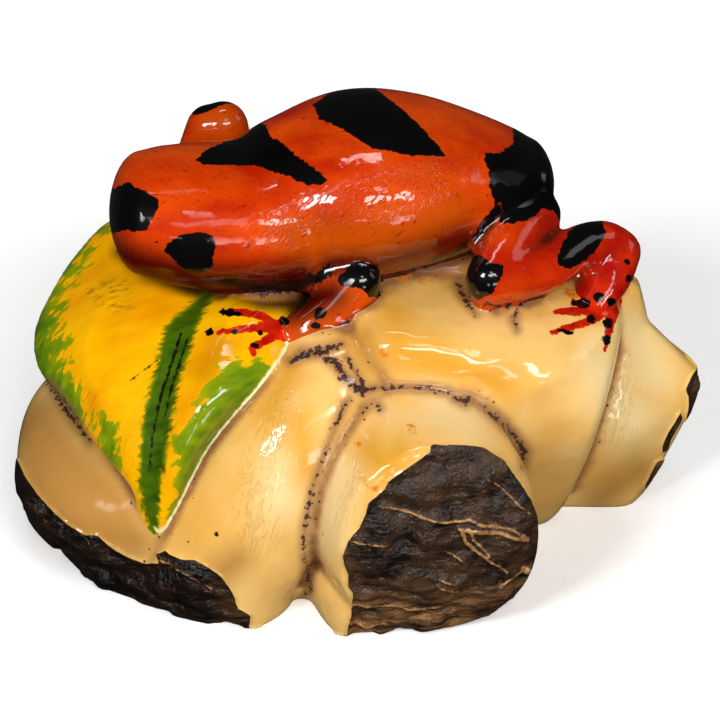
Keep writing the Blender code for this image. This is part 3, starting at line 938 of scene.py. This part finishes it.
lacquered(
    tree,
    toes_and_dots(tree, place, flesh),
    SANDED,
    lacquer_relief(tree, place, 0.25, 0.08),
    Coat_Weight=node(tree, "MapRange", limits),
    Subsurface_Weight=0.3,
    Subsurface_Radius=(1.0, 0.5, 0.2),
    Subsurface_Scale=1.4 * MM,
)


# The nut's skin
#
# The nut's own brown skin, a dry crust of crushed fibres, left on the ends of the stubs. It stands a little
# above the wood, with a broken edge where the knife stopped. It is nearly black under the lacquer, with pale
# fibres worn bare on it, and glints on its lumps, where the lacquer soaked in unevenly.

# How far the skin stands over the wood, and how wide its sloped edge is, in millimetres.
SKIN_RISE = 0.22
SKIN_EDGE = 0.1
# The size of its lumps and of its long wrinkles, and how far they and the fibres stand out.
LUMP = 3.2
WRINKLE = 1.5
LUMP_RISE = 0.75
WRINKLE_RISE = 0.3
FIBRE_RISE = 0.9
CRUST_SINK = 0.3
CRUST_TOP = 0.15
# Reach is 1 on the nut's outside. Out of sight, the skin stays above this reach and below this height.
KEPT_REACH = 0.975
KEPT_HEIGHT = 15.5
# In sight, an outline may go down to this reach, and the slivers only on the end stub, right of this place.
DRAWN_REACH = 0.93
END_START = 24
# About how many millimetres there are in a whole reach.
REACH_MM = 22
DRUM_SKIN = [
    (431, 446), (468, 447), (483, 449), (493, 456), (502, 461), (519, 484), (529, 500), (535, 516),
    (545, 560), (540, 600), (465, 640), (402, 645), (345, 645), (348, 627), (353, 612), (353, 591),
    (349, 586), (349, 574), (345, 564), (343, 555), (349, 539), (359, 527), (366, 512), (368, 502),
    (384, 489), (389, 480), (412, 464), (430, 452),
]
LEFT_SKIN = [
    (0, 440), (16, 451), (21, 463), (28, 478), (40, 495), (55, 511), (70, 524), (86, 534), (98, 534),
    (108, 543), (116, 549), (129, 556), (146, 562), (161, 563), (154, 546), (149, 534), (159, 534),
    (162, 544), (171, 554), (184, 559), (196, 559), (212, 568), (222, 576), (230, 587), (235, 596),
    (237, 606), (250, 614), (248, 645), (100, 645), (0, 570),
]
END_SLIVERS = [
    [
        (694, 356), (697, 367), (690, 376), (684, 390), (687, 395), (687, 405), (684, 421), (715, 421),
        (715, 356),
    ],
    [
        (679, 411), (681, 417), (679, 422), (670, 437), (666, 449), (661, 452), (661, 444), (667, 431),
        (673, 422),
    ],
    [(664, 457), (662, 466), (653, 484), (649, 495), (643, 492), (643, 485), (649, 473), (655, 461)],
]

reach = np.sqrt(np.sum(((points - np.array(NUT_CENTRE, float)) / np.array(NUT_RADII, float)) ** 2, 1))
kept = np.minimum((reach - KEPT_REACH) * REACH_MM, (KEPT_HEIGHT - points[:, 2]) * 0.6)
drawn = np.maximum(inside(DRUM_SKIN), inside(LEFT_SKIN))
slivers = np.max([inside(outline) for outline in END_SLIVERS], 0)
drawn = np.minimum(drawn, (reach - DRAWN_REACH) * REACH_MM)
drawn = np.maximum(drawn, np.minimum(slivers, points[:, 0] - END_START))
seen = np.clip((facing - 0.02) / 0.2, 0, 1)
skin_mm = np.clip(drawn * seen + kept * (1 - seen), -2, 2)
fields["skin_mm"] = np.minimum(skin_mm, -np.maximum(fields["frog_mm"], fields["leaf_mm"]) + 0.2)
fields["fibre_mm"] = np.clip(np.max([stroke(*stations) for stations in FIBRES], 0) - 0.03, -2, 2)

skin, tree, place = new_material("lacquered_nut_skin")
lengthwise = node(tree, "Mapping", {"Vector": place, "Rotation": (0, 0.2, 0), "Scale": (0.22, 0.22, 1.0)})
crust = blotched(tree, place, 2.4, 0.36, 0.66, colour("120B07"), colour("46301F"), detail=5)
height = node(tree, "SeparateXYZ", {"Vector": place}, "Z")
worn = blotched(tree, lengthwise, 0.6, 0.40, 0.64, crust, colour("8A6038"), detail=4)
low_down = node(tree, "MapRange", {"Value": height, "From Min": 8, "From Max": 2})
crust = node(tree, "MixRGB", {0: low_down, 1: crust, 2: worn})
crust = blotched(tree, lengthwise, 0.5, 0.60, 0.80, crust, colour("5A3A1C"), detail=4)
along = node(tree, "SeparateXYZ", {"Vector": place}, "X")
left = node(tree, "MapRange", {"Value": along, "From Min": -8, "From Max": -13})
tarred = blotched(tree, lengthwise, 0.8, 0.40, 0.75, colour("080403"), colour("301E12"), detail=4)
crust = node(tree, "MixRGB", {0: left, 1: crust, 2: tarred})
pale = blotched(tree, place, 0.6, 0.35, 0.62, colour("7E5630"), colour("C8965A"), detail=3)
crust = brushed(tree, place, crust, "fibre_mm", pale, 0.06, 0.05)
fibres = node(tree, "TexNoise", {"Vector": lengthwise, "Scale": 1 / 0.5, "Detail": 3, "Roughness": 0.6})
pits = node(tree, "TexNoise", {"Vector": place, "Scale": 1 / 0.8, "Detail": 4, "Roughness": 0.65})
stranded = node(tree, "Bump", {"Height": fibres, "Distance": 0.16 * MM})
pitted = node(tree, "Bump", {"Height": pits, "Distance": 0.5 * MM, "Normal": stranded})
lacquered(tree, crust, 0.5, pitted, Coat_Roughness=0.12)


# The leaf's paint
#
# Yellow enamel, brushed over with green from the edge in and along the midrib, which is scored with a graver.
# A pale painted highlight runs along the right rim. It is lacquered with the rest.

LEAF_LEFT = [
    (110, 205), (108, 230), (84, 243), (101, 245), (76, 264), (87, 266), (59, 284), (77, 284), (42, 306),
    (65, 300), (70, 306), (57, 316), (63, 323), (54, 335), (74, 340), (53, 360), (72, 361), (64, 371),
    (80, 382), (78, 392), (84, 404), (88, 415), (86, 428), (60, 420), (10, 330), (30, 280), (80, 210),
]
LEAF_BLOB = [(98, 418), (106, 414), (116, 425), (119, 445), (121, 478), (108, 468), (98, 450)]
LEAF_RIGHT = [
    (233, 361), (246, 365), (258, 359), (272, 361), (285, 364), (250, 405), (215, 445), (195, 485),
    (175, 520), (170, 505), (178, 480), (176, 460), (172, 440), (181, 432), (191, 418), (195, 404),
    (205, 400), (207, 383), (219, 370),
]
MIDRIB = [
    (214, 286, 8), (207, 296, 12), (192, 315, 20), (181, 330, 30), (176, 346, 32), (169, 370, 27),
    (161, 400, 29), (156, 430, 30), (152, 460, 27), (150, 480, 24), (151, 505, 18), (154, 532, 10),
]
SPUR = [(181, 330, 8), (165, 327, 3)]
# A mottled dark brown patch beside the chin.
BROWN_PATCH = [(86, 294), (100, 284), (124, 278), (131, 284), (127, 296), (131, 306), (118, 311), (100, 303)]
# A pale painted highlight along the leaf's right rim.
RIM_HIGHLIGHT = [(285, 350, 30), (225, 437, 40), (168, 522, 30)]

green_mm = np.max([inside(outline) for outline in (LEAF_LEFT, LEAF_BLOB, LEAF_RIGHT)], 0)
out_of_sight = np.clip((0.1 - facing) * TURN, -2, 2)
fields["green_mm"] = np.clip(np.maximum(green_mm, out_of_sight), -2, 2)
fields["rib_mm"] = np.clip(this_side(np.maximum(stroke(*MIDRIB), stroke(*SPUR))), -2, 2)
fields["graver_mm"] = np.clip(this_side(np.max([stroke(*line) for line in GRAVER], 0)), -2, 2)
fields["brown_patch_mm"] = np.clip(inside(BROWN_PATCH), -FADE, FADE)
fields["rim_highlight_mm"] = np.minimum(np.clip(stroke(*RIM_HIGHLIGHT), -1, 1), 0.4 - fields["leaf_mm"])

leaf_paint, tree, place = new_material("lacquered_leaf_enamel")
brushwork = node(tree, "Mapping", {"Vector": place, "Rotation": (0.4, 0, -0.5), "Scale": (0.5, 1.6, 1.0)})
paint = blotched(tree, brushwork, 4.5, 0.35, 0.75, colour("FCB800"), colour("E89400"))
paint = stained(tree, paint, "yellowed_mm", -1.5, 1, colour("D48C00"))
# Painted shade in the broad valleys and the creases.
paint = stained(tree, paint, "valley_mm", 0.1, 1.1, colour("A86E04"))
paint = stained(tree, paint, "crease_mm", 0.02, 0.25, colour("6A3F06"))
browned = stained(tree, paint, "brown_patch_mm", -0.8, 0.8, colour("6A3C04"))
paint = blotched(tree, brushwork, 0.7, 0.48, 0.72, paint, browned, detail=5)
# The green was feathered in with a nearly dry brush, in strokes about 4 mm long.
size = {"Rotation": (0, 0, 0.5), "Scale": (4.5, 1.2, 2)}
feathered = node(tree, "Mapping", {"Vector": place, **size}, vector_type="TEXTURE")
green = stained(tree, colour("989C04"), "green_mm", -0.2, 0.6, colour("567C04"))
green = stained(tree, green, "green_mm", 0.6, 1.8, colour("34600A"))
green = blotched(tree, feathered, 0.8, 0.35, 0.72, green, colour("8A9A08"))
paint = brushed(tree, feathered, paint, "green_mm", green, 0.75, 0.18)
rib = stained(tree, colour("7E8C04"), "rib_mm", -0.1, 0.5, colour("446406"))
rib = blotched(tree, brushwork, 1.2, 0.40, 0.70, rib, colour("2A4604"))
paint = brushed(tree, brushwork, paint, "rib_mm", rib, 0.30, 0.25)
paint = brushed(tree, place, paint, "graver_mm", colour("141604"), 0.10, 0.07)
# Painted shade on the leaf under the frog's head, then the grime, which is partly painted shade.
paint = stained(tree, paint, "shade_under_mm", -0.7, 1.0, colour("3A2204"))
paint = begrimed_and_shaded(tree, place, paint, 0.30)
# A pale painted highlight along the right rim.
paint = brushed(tree, place, paint, "rim_highlight_mm", colour("E8E0A4"), 0.12, 0.12)
lacquered(tree, toes_and_dots(tree, place, paint), SANDED, lacquer_relief(tree, place, 0.4, 0.04))


# The frog's paint
#
# A thin orange and red stain brushed on the bare nut, so that the wood glows through where it is thin, and
# black enamel patches with bristly edges. The toes and their dots run on over the leaf and the wood.

CHEEK = [
    (163, 250), (169, 243), (178, 236), (190, 233), (196, 232), (205, 232), (213, 238), (216, 247),
    (213, 258), (214, 266), (206, 272), (195, 274), (187, 272), (176, 262),
]
SNOUT = [
    (130, 181), (134, 187), (147, 191), (158, 199), (158, 209), (150, 222), (146, 230), (137, 232),
    (126, 230), (113, 233), (100, 236), (100, 195),
]
KNEE = [
    (465, 256), (480, 254), (487, 261), (504, 266), (502, 275), (493, 293), (478, 300), (466, 294),
    (462, 275),
]
SHIN = [
    (557, 259), (562, 244), (569, 231), (580, 222), (602, 219), (606, 233), (599, 247), (585, 261),
    (569, 269), (559, 265),
]
THIGH = [(498, 218), (508, 205), (523, 198), (538, 200), (543, 207), (536, 216), (520, 222), (504, 224)]
HIP = [(472, 240), (480, 222), (495, 207), (506, 205), (496, 218), (485, 232), (478, 240)]
ELBOW = [
    (336, 281), (347, 267), (361, 260), (377, 266), (386, 284), (379, 298), (370, 297), (361, 288),
    (342, 286),
]
UPPER_ARM = [(314, 285), (318, 271), (333, 262), (329, 274), (320, 282)]
FAR_ELBOW = [(190, 100), (200, 92), (245, 92), (248, 104), (225, 104), (206, 112), (193, 116)]
NECK_STRIPE = [
    (222, 143), (205, 151), (196, 160), (203, 165), (225, 165), (253, 165), (270, 170), (290, 177),
    (305, 184), (322, 186), (328, 180), (305, 162), (290, 150), (283, 143), (272, 138),
]
NECK_FAR = [(-8.5, 11.5), (-11.5, 11.2)]
MID_BACK = [
    (320, 100), (312, 104), (319, 119), (345, 131), (370, 148), (410, 156), (447, 157), (431, 138),
    (405, 112), (385, 96),
]
MID_BACK_FAR = [(1.0, 15), (-2, 15.2)]
RUMP = [
    (513, 145), (499, 153), (485, 153), (484, 161), (489, 171), (489, 185), (492, 195), (496, 208),
    (512, 206),
]
RUMP_FAR = [(16, 5), (19, 7), (19, 15), (13.5, 16)]
# The far cheek, and the knee and ankle of the far hind leg: centres and radii in millimetres.
FAR_PATCHES = [((-15.5, 10, 28), 2.6), ((3.6, 19.5, 25), 2.6), ((12.5, 18, 21.5), 1.9)]
DOTS = [
    (157, 242, 3), (627, 262, 6), (629, 278, 7), (611, 302, 9), (598, 297, 10), (582, 303, 11),
    (591, 319, 8), (608, 323, 10), (606, 340, 9), (564, 332, 6), (320, 313, 12), (316, 326, 8),
    (303, 330, 5), (284, 321, 9), (209, 332, 8), (234, 332, 6), (260, 332, 5), (255, 346, 6),
]
BLACK_STROKES = [
    [(222, 312, 6), (231, 313, 8), (239, 314, 5)],
    [(559, 331, 4), (572, 333, 4)],
    [(574, 303, 7), (587, 303, 8)],
]
HAND_RED = [
    [(279, 322, 6), (279, 330, 8), (285, 340, 6)],
    [(276, 324, 8), (262, 316, 8), (248, 313, 8), (230, 311, 6)],
    [(279, 330, 12), (262, 327, 10), (244, 329, 7), (219, 332, 5)],
    [(279, 333, 12), (267, 340, 8), (253, 347, 8), (253, 354, 6)],
]
FOOT_RED = [
    [(612, 300, 20), (600, 308, 14), (575, 311, 9), (556, 312, 5)],
    [(608, 306, 16), (594, 319, 9), (575, 326, 8), (551, 333, 5)],
    [(614, 304, 16), (610, 325, 9), (605, 350, 3)],
    [(590, 300, 12), (606, 292, 20)],
]
# The flank, where the stain is thin, and painted shade along the underside and on the leaf under the head.
FLANK = [
    [(300, 240, 20), (350, 245, 34), (420, 235, 34), (455, 215, 20)],
    [(212, 122, 16), (226, 122, 22)],
    [(300, 326, 10), (345, 300, 14)],
]
SHADED_UNDERSIDE = [
    [(118, 252, 12), (150, 270, 26), (200, 284, 30), (250, 286, 32), (300, 278, 26)],
    [(228, 298, 6), (262, 304, 18), (300, 304, 24), (332, 294, 14)],
    [(330, 266, 8), (380, 264, 10), (430, 250, 10), (465, 235, 8)],
    [(400, 268, 8), (440, 258, 12), (468, 238, 12)],
]


def across_back(near, far):
    """A patch that the frog's back carries over to its far side: pixels, then places of x and y."""
    outline = [tuple(seen_at(*pixel)[:2]) for pixel in near] + far
    return np.minimum(inside_flat(points[:, :2], outline), (normals[:, 2] + 0.3) * 6)


def ball(centre, radius):
    """How far each point lies inside a ball, in millimetres."""
    return radius - np.linalg.norm(points - np.array(centre, float), axis=1)


in_sight = (CHEEK, SNOUT, KNEE, SHIN, THIGH, HIP, ELBOW, UPPER_ARM, FAR_ELBOW)
patches = [this_side(inside(outline), OVER_EDGE) for outline in in_sight]
carried_over = ((NECK_STRIPE, NECK_FAR), (MID_BACK, MID_BACK_FAR), (RUMP, RUMP_FAR))
patches += [across_back(near, far) for near, far in carried_over]
patches += [ball(centre, radius) for centre, radius in FAR_PATCHES]
on_frog_mm = np.minimum(np.max(patches, 0), fields["frog_mm"] + 0.3)
marks = [this_side(dot(*spot), 0.1) for spot in DOTS]
marks += [this_side(stroke(*line), 0.1) for line in BLACK_STROKES]
fields["black_mm"] = np.clip(np.maximum(on_frog_mm, np.max(marks, 0)), -2, 2)
red_mm = np.max([stroke(*line) for line in HAND_RED + FOOT_RED], 0)
fields["red_mm"] = np.clip(this_side(red_mm, 0.05), -2, 2)
fields["flank_mm"] = laid_on(FLANK)
fields["shade_under_mm"] = laid_on(SHADED_UNDERSIDE)

frog_paint, tree, place = new_material("lacquered_frog_enamel")
stain_place = node(tree, "Mapping", {"Vector": place, "Rotation": (0, 0, 0.2), "Scale": (0.6, 1.0, 1.3)})
stain = blotched(tree, stain_place, 5.0, 0.34, 0.66, colour("B41E00"), colour("DC4A00"), detail=4)
along = node(tree, "SeparateXYZ", {"Vector": place}, "X")
hind = node(tree, "MapRange", {"Value": along, "From Min": 11, "From Max": 17})
leg_red = blotched(tree, place, 3.0, 0.35, 0.7, colour("9C0A02"), colour("CC2E02"))
stain = node(tree, "MixRGB", {0: hind, 1: stain, 2: leg_red})
stain = stained(tree, stain, "flank_mm", -3, 1.5, colour("BC4A02"))
# Pores of the nut that took the stain darker, about 0.2 mm across.
stain = blotched(tree, place, 0.3, 0.62, 0.80, stain, colour("8A1400"), detail=2)
# Scratches of the file that the stain ran into.
size = {"Rotation": (0, 0.8, 0), "Scale": (0.3, 0.4, 2.5)}
scored = node(tree, "Mapping", {"Vector": place, **size}, vector_type="TEXTURE")
stain = blotched(tree, scored, 1, 0.64, 0.74, stain, colour("7A1400"), detail=3)
# Painted shade under the head and belly and in the creases, then the grime, which is partly painted shade.
stain = stained(tree, stain, "shade_under_mm", -2.0, 0.8, colour("4A0500"))
stain = stained(tree, stain, "crease_mm", 0.04, 0.30, colour("4A1204"))
stain = brushed(tree, place, stain, "grime_and_shade_mm", colour("1E0A06"), 0.45, 0.15)
paint = brushed(tree, place, stain, "black_mm", BLACK, 0.12, 0.04)
lacquered(
    tree,
    paint,
    SANDED,
    lacquer_relief(tree, place, 0.7, 0.08),
    Subsurface_Weight=0.12,
    Subsurface_Radius=(1.0, 0.25, 0.05),
    Subsurface_Scale=0.8 * MM,
)


# Finishes on the carving
#
# Each finish ends on a clean line, so the faces are cut along the borders of the skin, the leaf and the frog.
# The skin is then raised over the wood, with its lumps, wrinkles and fibres.

TAGUA, SKIN, LEAF, FROG = range(4)
for name, values in fields.items():
    nut.data.attributes.new(name, "FLOAT", "POINT").data.foreach_set("value", values.astype(np.float32))


# A cut keeps this share of an edge away from both its ends.
NEAREST_CUT = 0.12
# How far in from its edge the skin's relief is at its full height, in millimetres.
RELIEF_FULL = 0.5


def cut_at(mesh, layer, level):
    """Cuts the faces where a value crosses a level, so that the border runs along edges."""
    crossed = []
    for edge in mesh.edges:
        a, b = (vert[layer] - level for vert in edge.verts)
        if a * b < 0:
            crossed.append((edge, min(max(a / (a - b), NEAREST_CUT), 1 - NEAREST_CUT)))
    # A dictionary keeps its order, so that each run gives the same mesh.
    border = {}
    for edge, share in crossed:
        vert = bmesh.utils.edge_split(edge, edge.verts[0], share)[1]
        vert[layer] = level
        border[vert] = edge
    for face in dict.fromkeys(face for vert in border for face in vert.link_faces):
        ends = [vert for vert in face.verts if vert in border]
        if len(ends) == 2 and len(face.verts) > 3:
            bmesh.utils.face_split(face, *ends)


def crust_relief(vert):
    """How far the skin's lumps, long wrinkles and fibres stand out or in at a place, in millimetres."""
    place = vert.co / MM
    lumps = noise.fractal(place / LUMP, 0.9, 2.0, 3)
    along = Vector((place.x * 0.25, place.y * 0.25, place.z + 0.22 * place.x)) / WRINKLE
    wrinkles = 1 - 2 * abs(noise.noise(along))
    fibre = max(0, min(vert[fibre_layer] + 0.15, 0.25))
    return min(CRUST_TOP, LUMP_RISE * lumps + WRINKLE_RISE * wrinkles - CRUST_SINK) + FIBRE_RISE * fibre


mesh = bmesh.new()
mesh.from_mesh(nut.data)
skin_layer, frog_layer, leaf_layer, fibre_layer = (
    mesh.verts.layers.float[name] for name in ("skin_mm", "frog_mm", "leaf_mm", "fibre_mm")
)
cut_at(mesh, skin_layer, 0)
cut_at(mesh, skin_layer, -SKIN_EDGE)
cut_at(mesh, frog_layer, 0)
cut_at(mesh, leaf_layer, 0)
bmesh.ops.triangulate(mesh, faces=[face for face in mesh.faces if len(face.verts) > 3])
mesh.normal_update()

rises = {}
for vert in mesh.verts:
    if vert[skin_layer] > -SKIN_EDGE * 0.99:
        edge = min(1, (vert[skin_layer] + SKIN_EDGE) / SKIN_EDGE)
        inner = max(0, min(1, vert[skin_layer] / RELIEF_FULL))
        rises[vert] = vert.normal * (SKIN_RISE * edge + crust_relief(vert) * inner) * MM
for vert, rise in rises.items():
    vert.co += rise
    vert.co.z = max(vert.co.z, 0)
for face in mesh.faces:
    skin_sum, frog_sum, leaf_sum = (
        sum(vert[layer] for vert in face.verts) for layer in (skin_layer, frog_layer, leaf_layer)
    )
    face.material_index = FROG if frog_sum > 0 else LEAF if leaf_sum > 0 else SKIN if skin_sum > 0 else TAGUA
    face.smooth = True
mesh.to_mesh(nut.data)
mesh.free()

lows, highs = (np.array(corner) for corner in cad_box)
own = np.array([vert.co for vert in nut.data.vertices])
seat = (lows + highs) / 2 - (own.min(0) + own.max(0)) / 2
seat[2] = 0
nut.data.transform(Matrix.Translation(seat))
for finish in (tagua, skin, leaf_paint, frog_paint):
    nut.data.materials.append(finish)
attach(nut, "root")
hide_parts("frog_carving")


# Floor, light and camera placing
#
# A flat sheet of white card under a long soft light in front, with smaller ones to the left, above and
# behind.
# The card glows a little, so that it stays white, and it neither shows in the lacquer nor lights the carving.

floor_mesh = bpy.data.meshes.new("floor")
floor_mesh.from_pydata([(-4, -4, 0), (4, -4, 0), (4, 4, 0), (-4, 4, 0)], [], [(0, 1, 2, 3)])
floor = bpy.data.objects.new("floor", floor_mesh)
bpy.context.scene.collection.objects.link(floor)
floor.visible_glossy = False
floor.visible_diffuse = False
card, tree, place = new_material("white_card")
tooth = blotched(tree, place, 0.8, 0.3, 0.7, colour("FAFAFA"), colour("F6F6F6"))
lit = {"Base Color": tooth, "Roughness": 1, "Specular IOR Level": 0}
lit |= {"Emission Color": (1, 1, 1, 1), "Emission Strength": 0.22}
surface = node(tree, "BsdfPrincipled", lit)
node(tree, "OutputMaterial", {"Surface": surface})
floor_mesh.materials.append(card)

scene = bpy.context.scene
world = bpy.data.worlds.new("studio")
world.use_nodes = True
backdrop = world.node_tree.nodes["Background"]
backdrop.inputs["Color"].default_value = (1, 1, 1, 1)
backdrop.inputs["Strength"].default_value = 0.02
scene.world = world
scene.view_settings.view_transform = "Standard"
aim = Vector(AIM * MM + seat)
LIGHT_DISTANCE = 1.5
# Each light's azimuth from the front, elevation, width, height and glow, in degrees and metres.
LIGHTS = {
    "long softbox": (22, 44, 0.95, 0.24, 14.5),
    "left lamp": (-41, 39, 0.36, 0.38, 26),
    "high panel": (25, 60, 0.24, 0.30, 6),
    "rear panel": (190, 74, 0.60, 0.12, 9),
    "side panel": (105, 28, 0.50, 0.50, 1.3),
    "low reflector": (24, 6, 0.36, 0.34, 6),
    "low strip": (-4, 6, 0.26, 0.22, 5),
}
# Broad fill, through polarising sheets that keep its glare off the lacquer.
FILLS = {
    "left fill": (-45, 14, 1.1, 0.7, 2.0),
    "right fill": (38, 14, 1.1, 0.7, 2.8),
    "rear fill": (180, 14, 1.1, 0.7, 2.5),
}


def softbox(name, azimuth, elevation, width, height, glow):
    """A rectangular light that faces the carving."""
    light = bpy.data.lights.new(name, "AREA")
    light.shape = "RECTANGLE"
    light.size = width
    light.size_y = height
    light.energy = glow * math.pi * width * height
    box = bpy.data.objects.new(name, light)
    a, e = math.radians(azimuth), math.radians(elevation)
    away = Vector((math.sin(a) * math.cos(e), -math.cos(a) * math.cos(e), math.sin(e)))
    box.location = aim + away * LIGHT_DISTANCE
    box.rotation_mode = "QUATERNION"
    box.rotation_quaternion = away.to_track_quat("Z", "Y")
    scene.collection.objects.link(box)
    return box


for name, settings in LIGHTS.items():
    softbox(name, *settings)
for name, settings in FILLS.items():
    softbox(name, *settings).visible_glossy = False

lens = bpy.data.cameras.new("camera")
lens.sensor_width = 36
lens.lens = lens.sensor_width * DISTANCE / (PICTURE / PIXELS_PER_MM)
lens.clip_start = 0.01
lens.clip_end = 20
camera = bpy.data.objects.new("camera", lens)
camera.location = Vector(EYE * MM + seat)
camera.rotation_mode = "QUATERNION"
camera.rotation_quaternion = Vector(BACK).to_track_quat("Z", "Y")
scene.collection.objects.link(camera)
scene.camera = camera
